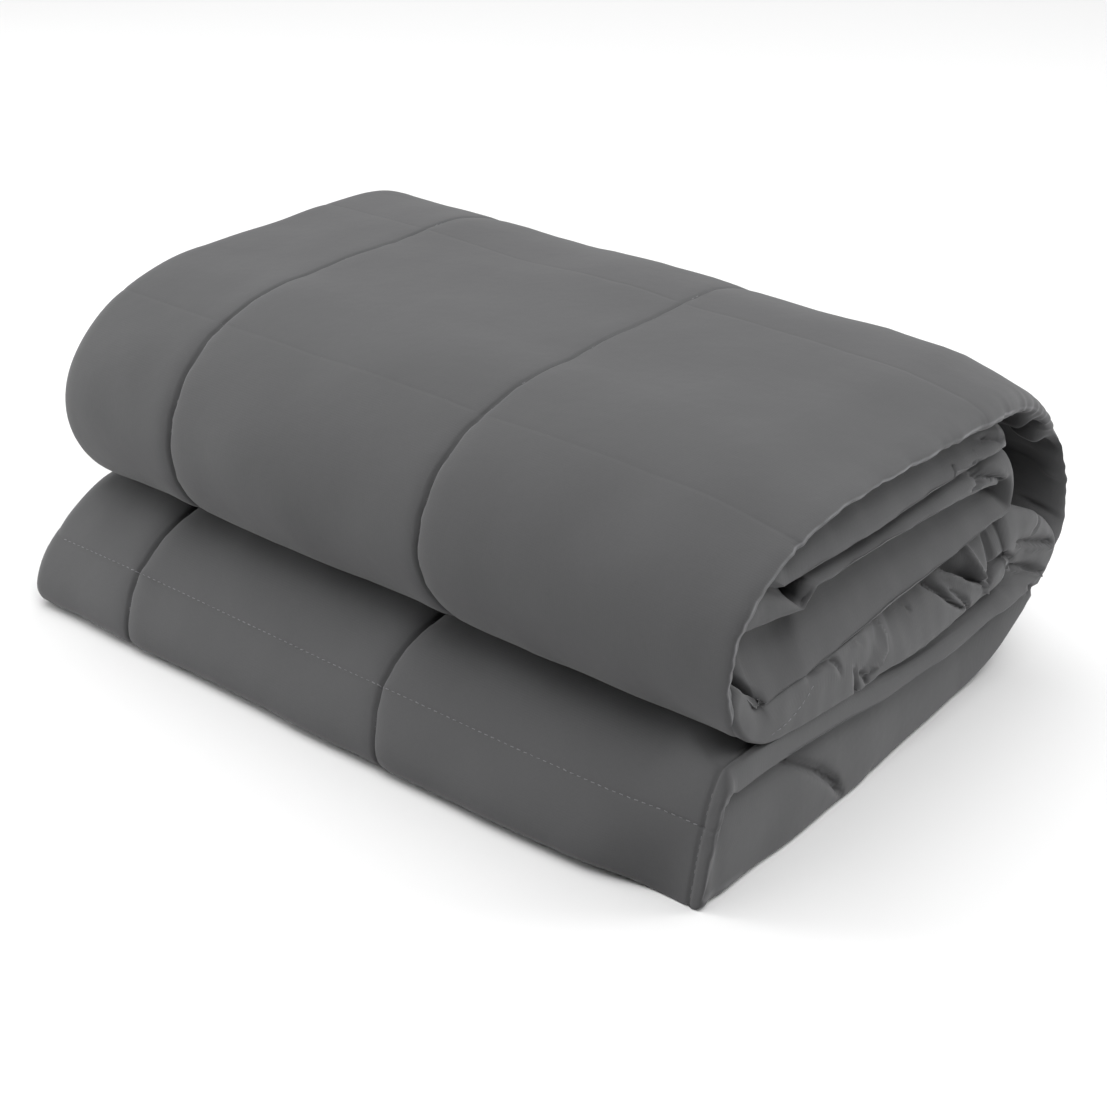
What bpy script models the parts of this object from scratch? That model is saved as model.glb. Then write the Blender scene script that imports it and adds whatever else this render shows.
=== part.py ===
"""Weighted blanket, quilted in square cells and folded into a thick stack of two bundles.

The folded blanket is one filled ribbon. Its section runs back and forth in the Y-Z plane, and the
ribbon reaches along X. Blender works in metres with +Z up, and the sizes below are in millimetres.
The origin is on the floor, under the middle of the stack.
"""
from collections import namedtuple

import bpy
import numpy as np

MM = 0.001

# Driving sizes, in millimetres.
DATUM_Y = 125.8           # from the front datum of the fold table to the middle of the stack
DATUM_X = 0.1             # from the middle of the right and left ends to the origin
HEM_HALF = 1.4            # half the thickness of the sewn hem at the ends of each ply
END_ROUND = 9.0           # length of a ply's rounded end
END_SQUARE = 2.7          # how square that end is, where 2 is an ellipse
CHANNEL_HALF = 8.0        # from the middle of a channel to where the cloth is level again
SEAM_DEPTH = 1.0          # how far the flatter cross seams sink
SEAM_HALF = 12.0          # from the middle of a cross seam to where the cloth is level again
SEAM_FOLDS = (1.80, 2.86, 3.63, 4.39, 5.57)          # fold positions of the cross seams
SHOWING_FOLDS = (1.0, 6.6)            # the folds whose outer skin is quilted
SEAM_CLEAR = 0.03         # no other mesh row lies nearer than this to a cross seam, in folds
FINE_STEPS = 6000         # points at which the section's length is measured

# The ribbon in fold order, from the tucked-in outer edge to the innermost edge. A row gives the point
# (y, z) where a ply or a turn starts, on the ribbon's outer and inner skin, and how its line bows.
# A turn bows along Y, by its reach at the start and at the end of its half circle. A ply bows along
# Z, by the height of its two curve handles. Outer is the side that shows on front, top and floor.
Fold = namedtuple("Fold", "name outer outer_bow inner inner_bow kind steps")
FOLDS = [Fold(*row) for row in (
    ("tucked edge",   (78.0, 55.5),   (0.0, -1.0),    (78.0, 60.5),   (0.0, 1.0),     "ply",  2),
    ("upper front",   (38.0, 51.0),   (-26.0, -87.0), (40.0, 64.0),   (-24.0, -73.0), "turn", 13),
    ("top",           (100.0, 145.5), (0.5, 1.0),     (100.0, 132.0), (0.5, 1.0),     "ply",  5),
    ("back",          (190.0, 148.5), (90.0, 60.0),   (190.0, 134.5), (71.0, 43.0),   "turn", 13),
    ("floor",         (188.0, 0.0),   (0.0, 0.0),     (190.0, 37.0),  (-1.0, -1.0),   "ply",  6),
    ("lower front",   (-6.0, 0.0),    (-23.0, -22.0), (34.0, 36.6),   (-1.4, -1.4),   "turn", 10),
    ("ledge",         (38.0, 50.0),   (3.0, 1.0),     (34.0, 39.4),   (0.0, 0.0),     "ply",  4),
    ("ledge back",    (110.0, 53.0),  (-6.0, -2.0),   (120.0, 36.8),  (0.0, 0.0),     "ply",  3),
    ("low turn",      (203.0, 46.0),  (1.2, 1.2),     (212.0, 38.6),  (40.0, 26.0),   "turn", 6),
    ("lower ply",     (203.0, 48.4),  (-2.0, -5.0),   (206.0, 79.4),  (0.0, 0.0),     "ply",  3),
    ("lower nose",    (110.0, 54.8),  (0.0, 0.0),     (120.0, 72.0),  (0.0, 0.0),     "ply",  2),
    ("front turn",    (62.0, 63.0),   (-36.0, -39.0), (76.0, 68.0),   (-1.2, -1.2),   "turn", 8),
    ("middle ply",    (57.0, 104.0),  (0.5, 0.5),     (76.0, 70.4),   (0.0, 0.0),     "ply",  2),
    ("middle rise",   (84.0, 104.6),  (1.0, 2.0),     (96.0, 71.0),   (-1.0, -1.0),   "ply",  4),
    ("upper turn",    (190.0, 102.0), (1.2, 1.2),     (204.0, 82.0),  (14.0, 19.0),   "turn", 6),
    ("return ply",    (190.0, 104.4), (3.0, 2.0),     (190.0, 116.2), (0.0, 0.0),     "ply",  4),
    ("web",           (88.0, 106.6),  (0.0, 0.0),     (88.0, 116.4),  (0.0, 0.0),     "ply",  1),
    ("inner nose",    (82.0, 106.6),  (0.0, 0.0),     (82.0, 116.5),  (0.0, 0.0),     "ply",  1),
    ("inner turn",    (76.0, 106.6),  (-28.0, -33.0), (76.0, 116.6),  (-0.6, -0.6),   "turn", 7),
    ("crumple",       (94.0, 130.4),  (0.0, 0.0),     (82.0, 117.8),  (0.0, 0.0),     "ply",  1),
    ("top inner ply", (104.0, 130.8), (0.0, 0.0),     (94.0, 117.8),  (0.0, 0.0),     "ply",  4),
    ("inner edge",    (184.0, 129.4), (0.0, 0.0),     (184.0, 119.2), (0.0, 0.0),     "end",  0),
)]
LAST_FOLD = len(FOLDS) - 1

# Where the ribbon's two ends lie along X, at positions along the folds. Edge says how far each ply's
# end comes to its edge from the outer skin, from 0 on it to 1 on the inner skin.
End = namedtuple("End", "fold left right edge")
ENDS = [End(*row) for row in (
    (0.0,  -184.0, 183.0, 0.5),
    (1.0,  -189.0, 187.0, 0.4),
    (1.4,  -192.0, 188.0, 0.3),
    (1.7,  -192.0, 188.0, 0.3),
    (2.0,  -192.0, 188.0, 0.5),
    (3.0,  -192.0, 188.0, 0.5),
    (3.6,  -190.0, 189.0, 0.3),
    (4.0,  -189.0, 188.0, 0.2),
    (4.6,  -190.0, 190.5, 0.1),
    (4.9,  -191.0, 192.5, 0.06),
    (5.4,  -193.0, 190.5, 0.2),
    (6.0,  -193.0, 190.0, 0.5),
    (7.0,  -190.0, 190.0, 0.5),
    (8.5,  -186.0, 187.0, 0.5),
    (10.0, -188.0, 188.5, 0.3),
    (11.5, -188.0, 187.0, 0.5),
    (13.0, -188.0, 188.0, 0.6),
    (14.5, -187.0, 186.0, 0.5),
    (18.0, -187.0, 184.5, 0.5),
    (21.0, -185.0, 185.0, 0.6),
)]
# Where the two quilting channels lie along X, and how far they sink into the cloth.
Channel = namedtuple("Channel", "fold left right depth")
CHANNELS = [Channel(*row) for row in (
    (0.0,  -116.0, 42.0, 2.4),
    (1.2,  -115.0, 41.0, 2.6),
    (1.4,  -115.0, 35.5, 2.6),
    (1.8,  -119.0, 36.5, 1.8),
    (2.3,  -120.0, 37.5, 1.2),
    (2.6,  -117.5, 38.0, 1.2),
    (3.0,  -119.0, 36.5, 1.2),
    (3.6,  -120.0, 37.0, 1.6),
    (5.15, -118.0, 37.5, 2.0),
    (5.5,  -125.0, 29.0, 2.4),
    (5.65, -127.5, 25.5, 2.4),
    (6.2,  -129.0, 29.0, 2.4),
    (21.0, -122.0, 36.0, 2.4),
)]

# Stations along X, counted as 0 left end, 1 left channel, 2 right channel, 3 right end.
STATIONS = (0.0, 0.015, 0.06, 0.16, 0.45, 0.88, 1.0, 1.05, 1.2, 1.5, 1.8, 1.95,
            2.0, 2.05, 2.2, 2.5, 2.75, 2.87, 2.935, 2.975, 2.993, 3.0)

# How the stack settles towards its right end and its left end.
Settle = namedtuple("Settle", "x top_drop nose_back high_back_out low_back_out")
SETTLE = [Settle(*row) for row in (
    (-190.0, 0.0,  -3.0, 6.0,    2.0),
    (-100.0, 0.0,  -1.0, 5.0,    2.0),
    (0.0,    0.0,  -1.0, 0.0,    2.0),
    (100.0,  1.0,   1.0, -3.0,   2.0),
    (150.0,  3.0,   3.0, -6.0,   3.0),
    (190.0,  11.0,  6.0, -16.0,  7.0),
)]

TOP_BAND = (100.0, 48.0)              # height where the top's drop starts, and over which it grows
NOSE_Y = (40.0, 54.0)                 # the same for the lower front's nose, forwards
NOSE_Z = (60.0, 30.0)                 # and downwards
REAR_Y = (190.0, 72.0)                # for the back wrap, backwards
UPPER_Z = (50.0, 60.0)                # and from its low part to its high part

COLOUR = (0.115, 0.115, 0.117, 1.0)   # dark grey cloth
ROUGHNESS = 0.85


def skin(folds, side):
    """Points of one skin of the middle section at positions along the folds.

    2.5 is half way along the row at index 2. A ply is the straight line between two rows plus a
    cubic bow. A turn is half an ellipse whose reach goes evenly from its first to its last value."""
    row = np.minimum(folds.astype(int), LAST_FOLD - 1)
    part = folds - row
    starts = np.array([getattr(line, side) for line in FOLDS])
    bows = np.array([getattr(line, side + "_bow") for line in FOLDS])
    turning = np.array([line.kind == "turn" for line in FOLDS])[row]
    angle = part * np.pi
    along = np.where(turning, (1 - np.cos(angle)) / 2, part)
    points = starts[row] + (starts[row + 1] - starts[row]) * along[:, None]
    first, last = bows[row].T
    reach = (first + (last - first) * part) * np.sin(angle)
    rise = 3 * part * (1 - part) * (first * (1 - part) + last * part)
    points[:, 0] += np.where(turning, reach, 0)
    points[:, 1] += np.where(turning, 0, rise)
    return points


def arc_length(points):
    """Length along a run of points, from the first to each one."""
    steps = np.linalg.norm(np.diff(points, axis=0), axis=1)
    return np.concatenate(([0.0], np.cumsum(steps)))


FINE_FOLDS = np.linspace(0, LAST_FOLD, FINE_STEPS)
FINE_LENGTH = arc_length(skin(FINE_FOLDS, "outer"))
SEAM_LENGTHS = np.interp(SEAM_FOLDS, FINE_FOLDS, FINE_LENGTH)


def fold_positions():
    """Positions of the mesh rows: even steps in each ply and turn, and a row on each cross seam."""
    rows = np.array([i + k / fold.steps for i, fold in enumerate(FOLDS) for k in range(fold.steps)])
    clear = np.abs(rows[:, None] - SEAM_FOLDS).min(axis=1) > SEAM_CLEAR
    return np.sort(np.concatenate((rows[clear], SEAM_FOLDS, [LAST_FOLD])))


def valley(distance, half):
    """1 in the middle of a seam, falling in a curve to 0 where the cloth is level again."""
    return np.clip(1 - distance / half, 0, 1) ** 2


def column(rows, name, key, at):
    """A table's column, read at any place between its rows."""
    return np.interp(at, [getattr(r, key) for r in rows], [getattr(r, name) for r in rows])


def along_x(folds, stations):
    """X of every mesh point, with the stations spread between the ends and the channels."""
    places = ((ENDS, "left"), (CHANNELS, "left"), (CHANNELS, "right"), (ENDS, "right"))
    anchors = np.array([column(table, side, "fold", folds) for table, side in places]).T
    stations = np.array(stations)
    cell = np.minimum(stations.astype(int), len(places) - 2)
    part = stations - cell
    return anchors[:, cell] * (1 - part) + anchors[:, cell + 1] * part, anchors


def quilting(folds, x, anchors):
    """Depth of the channels and the cross seams at every point of the outer skin."""
    length = np.interp(folds, FINE_FOLDS, FINE_LENGTH)[:, None]
    channel_depth = column(CHANNELS, "depth", "fold", folds)[:, None]
    depth = np.zeros_like(x)
    for channel in (1, 2):
        depth = np.maximum(depth, channel_depth * valley(np.abs(x - anchors[:, [channel]]), CHANNEL_HALF))
    for seam in SEAM_LENGTHS:
        depth = np.maximum(depth, SEAM_DEPTH * valley(np.abs(length - seam), SEAM_HALF))
    showing = (folds >= SHOWING_FOLDS[0]) & (folds <= SHOWING_FOLDS[1])
    return depth * showing[:, None]


def settle(points):
    """Lets the stack down at its right end, and draws its lower front and its back in or out."""
    x, y, z = np.moveaxis(points, -1, 0)
    high = np.clip((z - TOP_BAND[0]) / TOP_BAND[1], 0, 1)
    nose = np.clip((NOSE_Y[0] - y) / NOSE_Y[1], 0, 1) * np.clip((NOSE_Z[0] - z) / NOSE_Z[1], 0, 1)
    rear = np.clip((y - REAR_Y[0]) / REAR_Y[1], 0, 1)
    z = z - column(SETTLE, "top_drop", "x", x) * high
    upper = np.clip((z - UPPER_Z[0]) / UPPER_Z[1], 0, 1)
    high_out = column(SETTLE, "high_back_out", "x", x) * upper
    low_out = column(SETTLE, "low_back_out", "x", x) * (1 - upper)
    y = y + column(SETTLE, "nose_back", "x", x) * nose + (high_out + low_out) * rear
    return np.stack((x + DATUM_X, y - DATUM_Y, z), axis=-1)


def ribbon_skins(folds, stations):
    """Both skins of the folded ribbon, each a grid of fold positions by stations, in millimetres."""
    outer, inner = skin(folds, "outer"), skin(folds, "inner")
    x, anchors = along_x(folds, stations)
    tangent = np.gradient(outer, axis=0)
    normal = np.stack((-tangent[:, 1], tangent[:, 0]), axis=1)
    normal /= np.linalg.norm(normal, axis=1)[:, None]
    sunk = outer[:, None] - normal[:, None] * quilting(folds, x, anchors)[..., None]
    across = inner[:, None] - sunk
    thick = np.linalg.norm(across, axis=2)
    to_end = np.minimum(x - anchors[:, [0]], anchors[:, [3]] - x)
    closing = np.clip(1 - to_end / END_ROUND, 0, 1)
    rounded = (1 - closing ** END_SQUARE) ** (1 / END_SQUARE)
    fullness = np.maximum(rounded, 2 * HEM_HALF / thick)[..., None]
    edge = column(ENDS, "edge", "fold", folds)[:, None, None]
    top = sunk + across * edge * (1 - fullness)
    bottom = inner[:, None] - across * (1 - edge) * (1 - fullness)
    skins = [np.concatenate((x[..., None], side), axis=2) for side in (top, bottom)]
    return [settle(points) for points in skins]


def closed_mesh(name, outer, inner):
    """One closed body from two skins, with the four rims between them filled in."""
    rows, columns = outer.shape[:2]
    points = np.concatenate((outer.reshape(-1, 3), inner.reshape(-1, 3)))
    index = np.arange(rows * columns).reshape(rows, columns)
    under = index + rows * columns

    def strip(a, b):
        return np.stack((a[:-1], a[1:], b[1:], b[:-1]), axis=-1).reshape(-1, 4)

    def sheet(grid):
        return np.stack((grid[:-1, :-1], grid[1:, :-1], grid[1:, 1:], grid[:-1, 1:]), -1).reshape(-1, 4)

    faces = np.concatenate((
        sheet(index)[:, ::-1], sheet(under),
        strip(index[:, 0], under[:, 0]), strip(index[:, -1], under[:, -1])[:, ::-1],
        strip(index[0], under[0])[:, ::-1], strip(index[-1], under[-1])))
    mesh = bpy.data.meshes.new(name)
    mesh.from_pydata((points * MM).tolist(), [], faces.tolist())
    mesh.validate()
    mesh.shade_smooth()
    return mesh


def cloth_material():
    """Plain matt finish for the dark cloth."""
    material = bpy.data.materials.new("grey_cloth")
    material.use_nodes = True
    shader = material.node_tree.nodes["Principled BSDF"]
    shader.inputs["Base Color"].default_value = COLOUR
    shader.inputs["Roughness"].default_value = ROUGHNESS
    shader.inputs["Metallic"].default_value = 0.0
    return material


def main():
    for item in list(bpy.data.objects):
        bpy.data.objects.remove(item, do_unlink=True)
    outer, inner = ribbon_skins(fold_positions(), STATIONS)
    blanket = bpy.data.objects.new("blanket", closed_mesh("blanket", outer, inner))
    blanket.data.materials.append(cloth_material())
    bpy.context.scene.collection.objects.link(blanket)


main()
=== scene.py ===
"""Folded weighted blanket: dark grey quilted cloth over a padded filling, folded into two bundles.

The blanket is one padded ribbon, closed like a flat tube. Its section runs back and forth in the
Y-Z plane, and the tube's ring goes once across the outer skin, round the open end's hem, and back
across the inner skin. Lengths in the tables are in millimetres, from the front datum of the folds.
"""
import math
from collections import namedtuple

import bpy
import numpy as np
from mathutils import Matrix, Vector


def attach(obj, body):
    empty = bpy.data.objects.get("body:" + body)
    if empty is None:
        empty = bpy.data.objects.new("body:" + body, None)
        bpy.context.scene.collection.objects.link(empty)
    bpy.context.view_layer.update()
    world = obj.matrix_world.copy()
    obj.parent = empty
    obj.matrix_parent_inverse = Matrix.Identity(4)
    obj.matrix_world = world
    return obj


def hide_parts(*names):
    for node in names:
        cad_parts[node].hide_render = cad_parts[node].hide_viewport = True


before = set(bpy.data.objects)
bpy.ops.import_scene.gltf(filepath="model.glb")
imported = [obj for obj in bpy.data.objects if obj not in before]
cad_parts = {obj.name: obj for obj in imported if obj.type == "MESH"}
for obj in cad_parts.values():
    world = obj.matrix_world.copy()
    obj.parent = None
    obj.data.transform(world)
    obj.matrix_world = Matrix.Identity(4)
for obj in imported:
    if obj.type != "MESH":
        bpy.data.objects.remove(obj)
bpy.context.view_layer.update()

MM = 0.001
DATUM_Y = 125.8           # from the front datum of the fold table to the middle of the stack
DATUM_X = 0.1             # and sideways
CELL = 155.0              # between the two channels, across a quilted cell
# The cross seams: position along the folds, how deep the cloth dips (1 for a full seam), and how
# far the stitches sink into it.
Seam = namedtuple("Seam", "fold dip sunk")
SEAMS = [Seam(*row) for row in (
    (1.80, 0.50, 0.18),
    (2.86, 0.50, 0.20),
    (3.63, 0.90, 0.10),
    (4.39, 1.00, 0.00),
    (5.57, 1.20, -0.08),
)]
HEM_WIDTH = 5.5           # from the open edge to its row of stitches

# ---------------------------------------------------------------- the folds

# A row gives the point (y, z) where a ply or a turn starts on the outer and inner skin, and how
# its line bows: a turn by its reach in Y at the start and end of its half circle, a ply by the
# height of its two curve handles in Z.
Fold = namedtuple("Fold", "name outer outer_bow inner inner_bow kind")
MIDDLE = [Fold(*row) for row in (
    ("tucked edge",   (78.0, 55.5),   (0.0, -1.0),    (78.0, 60.5),   (0.0, 1.0),     "ply"),
    ("upper front",   (38.0, 51.0),   (-26.0, -87.0), (40.0, 64.0),   (-24.0, -73.0), "turn"),
    ("top",           (100.0, 145.5), (0.5, 1.0),     (100.0, 132.0), (0.5, 1.0),     "ply"),
    ("back",          (190.0, 148.5), (90.0, 60.0),   (190.0, 134.5), (71.0, 43.0),   "turn"),
    ("floor",         (188.0, 0.0),   (0.0, 0.0),     (190.0, 37.0),  (-1.0, -1.0),   "ply"),
    ("lower front",   (-6.0, 0.0),    (-23.0, -22.0), (34.0, 36.6),   (-1.4, -1.4),   "turn"),
    ("ledge",         (38.0, 50.0),   (3.0, 1.0),     (34.0, 39.4),   (0.0, 0.0),     "ply"),
    ("ledge back",    (110.0, 53.0),  (-6.0, -2.0),   (120.0, 36.8),  (0.0, 0.0),     "ply"),
    ("low turn",      (203.0, 46.0),  (1.2, 1.2),     (212.0, 38.6),  (40.0, 26.0),   "turn"),
    ("lower ply",     (203.0, 48.4),  (-2.0, -5.0),   (206.0, 79.4),  (0.0, 0.0),     "ply"),
    ("lower nose",    (110.0, 54.8),  (0.0, 0.0),     (120.0, 72.0),  (0.0, 0.0),     "ply"),
    ("front turn",    (62.0, 63.0),   (-36.0, -39.0), (76.0, 68.0),   (-1.2, -1.2),   "turn"),
    ("middle ply",    (57.0, 104.0),  (0.5, 0.5),     (76.0, 70.4),   (0.0, 0.0),     "ply"),
    ("middle rise",   (84.0, 104.6),  (1.0, 2.0),     (96.0, 71.0),   (-1.0, -1.0),   "ply"),
    ("upper turn",    (190.0, 102.0), (1.2, 1.2),     (204.0, 82.0),  (14.0, 19.0),   "turn"),
    ("return ply",    (190.0, 104.4), (3.0, 2.0),     (190.0, 116.2), (0.0, 0.0),     "ply"),
    ("web",           (88.0, 106.6),  (0.0, 0.0),     (88.0, 116.4),  (0.0, 0.0),     "ply"),
    ("inner nose",    (82.0, 106.6),  (0.0, 0.0),     (82.0, 116.5),  (0.0, 0.0),     "ply"),
    ("inner turn",    (76.0, 106.6),  (-28.0, -33.0), (76.0, 116.6),  (-0.6, -0.6),   "turn"),
    ("crumple",       (94.0, 130.4),  (0.0, 0.0),     (82.0, 117.8),  (0.0, 0.0),     "ply"),
    ("top inner ply", (104.0, 130.8), (0.0, 0.0),     (94.0, 117.8),  (0.0, 0.0),     "ply"),
    ("inner edge",    (184.0, 129.4), (0.0, 0.0),     (184.0, 119.2), (0.0, 0.0),     "end"),
)]
# The same rows at the open right end, where the cover thins to its hem and the inner plies swell.
OPEN_END = MIDDLE[:4] + [Fold(*row) for row in (
    ("floor",         (188.0, 0.0),   (0.0, 0.0),     (190.0, 33.0),  (1.0, 0.0),     "ply"),
    ("lower front",   (-4.0, 0.0),    (-0.5, -8.0),   (14.0, 39.0),   (-1.0, -1.0),   "turn"),
    ("ledge",         (16.0, 50.5),   (3.5, -1.0),    (14.0, 40.6),   (1.5, 1.0),     "ply"),
    ("ledge back",    (110.0, 47.3),  (-5.0, -5.0),   (120.0, 33.0),  (2.0, 2.0),     "ply"),
    ("low turn",      (212.0, 44.0),  (1.2, 1.2),     (214.0, 34.5),  (74.0, 14.0),   "turn"),
    ("lower ply",     (212.0, 46.0),  (-5.0, -5.5),   (205.0, 84.0),  (0.0, -1.0),    "ply"),
    ("lower nose",    (110.0, 47.4),  (0.3, 0.3),     (120.0, 72.0),  (0.5, 0.5),     "ply"),
    ("front turn",    (44.0, 51.4),   (-27.0, -16.0), (34.0, 68.2),   (-0.8, -0.8),   "turn"),
    ("middle ply",    (29.0, 97.0),   (-4.0, -12.0),  (33.0, 67.4),   (0.5, 0.5),     "ply"),
    ("middle rise",   (66.0, 103.4),  (2.5, 4.0),     (62.0, 69.4),   (-2.0, -0.5),   "ply"),
    ("upper turn",    (203.0, 98.0),  (1.2, 1.2),     (208.0, 82.0),  (6.0, 9.0),     "turn"),
    ("return ply",    (203.0, 96.5),  (6.5, 2.5),     (206.0, 110.5), (-1.0, -2.0),   "ply"),
    ("web",           (66.0, 104.6),  (0.0, 0.0),     (61.0, 107.5),  (0.0, 0.0),     "ply"),
    ("inner nose",    (60.0, 96.8),   (0.0, 0.0),     (57.0, 98.8),   (3.0, 3.0),     "ply"),
    ("inner turn",    (36.0, 96.4),   (-28.0, -13.0), (33.0, 111.5),  (-0.8, -0.8),   "turn"),
    ("crumple",       (46.0, 124.0),  (0.3, 0.3),     (34.0, 117.0),  (-2.0, -1.0),   "ply"),
    ("top inner ply", (58.0, 127.5),  (3.0, 0.5),     (44.0, 111.0),  (-3.0, -1.0),   "ply"),
    ("inner edge",    (206.0, 124.5), (0.0, 0.0),     (200.0, 114.0), (0.0, 0.0),     "end"),
)]
LAST_FOLD = len(MIDDLE) - 1
END_FOLDS = (4.9, 5.1)    # where along the folds the open end's own section takes over
END_REACH = (142.0, 184.0)            # and where along X

# Where the left and the right end lie along X, at positions along the folds. Edge says how far the
# right end's tip lies from the outer skin (0) towards the inner one (1). Each skin comes to that
# tip over its own length, outer_round and inner_round. Square is 1 for a straight slope to the
# tip, 2 for part of an ellipse, and more for a squarer end.
End = namedtuple("End", "fold left right edge outer_round inner_round square")
ENDS = [End(*row) for row in (
    (0.0,  -184.0, 172.0, 0.50, 7.0,  7.0,  2.2),
    (1.0,  -189.0, 173.0, 0.30, 5.0,  8.0,  2.2),
    (1.08, -189.5, 176.0, 0.25, 5.0,  9.0,  2.2),
    (1.18, -190.0, 185.5, 0.15, 4.0,  14.0, 2.2),
    (1.4,  -192.0, 188.0, 0.12, 5.0,  24.0, 2.2),
    (1.7,  -192.0, 188.0, 0.12, 6.0,  30.0, 2.2),
    (1.9,  -192.0, 188.0, 0.22, 8.0,  34.0, 2.2),
    (2.0,  -192.0, 188.0, 0.36, 10.0, 34.0, 2.2),
    (2.8,  -192.0, 188.0, 0.46, 13.0, 32.0, 2.2),
    (3.08, -192.0, 188.0, 0.55, 12.0, 14.0, 2.2),
    (3.3,  -191.0, 188.5, 0.42, 8.0,  10.0, 2.2),
    (3.38, -191.0, 188.2, 0.25, 5.0,  28.0, 1.3),
    (3.55, -190.5, 187.3, 0.20, 5.0,  28.0, 1.3),
    (3.7,  -190.0, 185.2, 0.16, 5.0,  16.0, 1.8),
    (3.8,  -189.5, 184.0, 0.16, 6.0,  14.0, 2.0),
    (4.0,  -189.0, 183.0, 0.10, 5.0,  14.0, 2.2),
    (4.3,  -189.5, 186.0, 0.08, 4.0,  15.0, 2.2),
    (4.6,  -190.0, 190.0, 0.08, 4.0,  15.0, 2.2),
    (4.85, -191.0, 190.7, 0.08, 3.5,  12.0, 2.2),
    (5.0,  -191.5, 190.8, 0.10, 3.5,  9.0,  2.2),
    (5.5,  -193.0, 190.8, 0.12, 3.0,  6.0,  2.2),
    (5.74, -193.0, 190.6, 0.12, 3.0,  4.0,  2.2),
    (5.85, -193.0, 190.5, 0.42, 5.0,  4.0,  2.2),
    (6.0,  -193.0, 190.3, 0.90, 5.0,  3.0,  2.2),
    (6.1,  -192.8, 190.0, 0.90, 3.0,  3.0,  2.2),
    (6.2,  -192.5, 189.6, 0.90, 1.2,  3.0,  2.0),
    (6.75, -191.0, 189.6, 0.90, 1.2,  3.0,  2.0),
    (7.05, -190.0, 190.0, 0.90, 9.0,  3.0,  1.8),
    (7.4,  -188.0, 190.5, 0.90, 11.0, 3.0,  1.6),
    (7.8,  -187.0, 189.5, 0.80, 11.0, 4.0,  1.6),
    (8.2,  -186.0, 188.0, 0.70, 10.0, 5.0,  1.8),
    (8.35, -186.0, 187.0, 0.86, 10.0, 4.0,  1.8),
    (8.7,  -186.0, 187.0, 0.86, 10.0, 4.0,  1.8),
    (8.9,  -186.0, 187.0, 0.50, 9.0,  9.0,  2.0),
    (9.0,  -187.0, 187.0, 0.25, 5.0,  14.0, 1.6),
    (9.9,  -188.0, 189.0, 0.10, 3.0,  20.0, 1.4),
    (10.1, -188.0, 189.0, 0.04, 1.6,  9.0,  1.8),
    (10.3, -188.0, 189.2, 0.00, 0.8,  2.6,  2.0),
    (11.0, -188.0, 189.2, 0.00, 0.8,  2.6,  2.0),
    (11.3, -188.0, 188.5, 0.15, 2.0,  4.0,  2.0),
    (11.66, -188.0, 187.5, 0.30, 4.0, 4.0,  1.8),
    (11.72, -188.0, 187.5, 0.93, 21.0, 2.0, 1.15),
    (12.0, -188.0, 188.0, 0.95, 24.0, 2.0,  1.1),
    (13.0, -188.0, 188.5, 0.95, 26.0, 2.0,  1.1),
    (14.0, -188.0, 187.5, 0.88, 22.0, 4.0,  1.2),
    (14.5, -187.0, 186.0, 0.50, 10.0, 9.0,  2.0),
    (15.0, -187.0, 186.0, 0.30, 4.0,  7.0,  1.7),
    (15.4, -187.0, 187.5, 0.14, 2.5,  7.0,  1.6),
    (16.0, -187.0, 187.5, 0.14, 2.5,  6.0,  1.6),
    (17.0, -187.0, 186.0, 0.30, 3.0,  5.0,  2.0),
    (18.0, -187.0, 183.0, 0.50, 5.0,  5.0,  2.2),
    (18.5, -187.0, 181.0, 0.50, 6.0,  6.0,  2.2),
    (19.0, -187.0, 183.5, 0.70, 9.0,  5.0,  1.6),
    (20.0, -187.0, 186.5, 0.92, 17.0, 3.5,  1.15),
    (21.0, -185.0, 186.0, 0.90, 14.0, 5.0,  1.5),
)]
# Where the two quilting channels lie along X, and how far they sink.
Channel = namedtuple("Channel", "fold left right depth")
CHANNELS = [Channel(*row) for row in (
    (0.0,  -116.0, 42.0, 2.4),
    (1.2,  -115.0, 41.0, 2.8),
    (1.4,  -115.0, 35.5, 2.8),
    (1.6,  -116.0, 35.5, 2.6),
    (1.8,  -119.0, 36.5, 2.0),
    (2.0,  -119.5, 38.5, 1.4),
    (2.3,  -120.0, 37.5, 1.2),
    (2.6,  -117.5, 38.0, 1.2),
    (3.0,  -119.0, 36.5, 1.2),
    (3.6,  -120.0, 37.0, 1.6),
    (5.15, -118.0, 37.5, 2.0),
    (5.35, -120.5, 34.0, 2.4),
    (5.5,  -125.0, 29.0, 2.6),
    (5.65, -127.5, 25.5, 2.6),
    (5.85, -128.5, 26.0, 2.6),
    (6.2,  -129.0, 29.0, 2.6),
    (21.0, -122.0, 36.0, 2.4),
)]
# The left end closes the same way on every fold and on both skins.
LEFT_ROUND = 9.0
LEFT_SQUARE = 2.2
LEFT_EDGE = 0.5

# How the stack settles towards its two ends: how far its top drops, its lower front's nose draws
# back, and the high and the low part of its back move out.
Settle = namedtuple("Settle", "x top_drop nose_back high_back_out low_back_out")
SETTLE = [Settle(*row) for row in (
    (-190.0, 0.0,  -3.0, 6.0,    2.0),
    (-100.0, 0.0,  -1.0, 5.0,    2.0),
    (0.0,    0.0,  -1.0, 0.0,    2.0),
    (100.0,  1.0,   1.0, -3.0,   2.0),
    (150.0,  3.0,   3.0, -6.0,   3.0),
    (190.0,  11.0,  6.0, -17.0,  7.0),
)]
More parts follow.
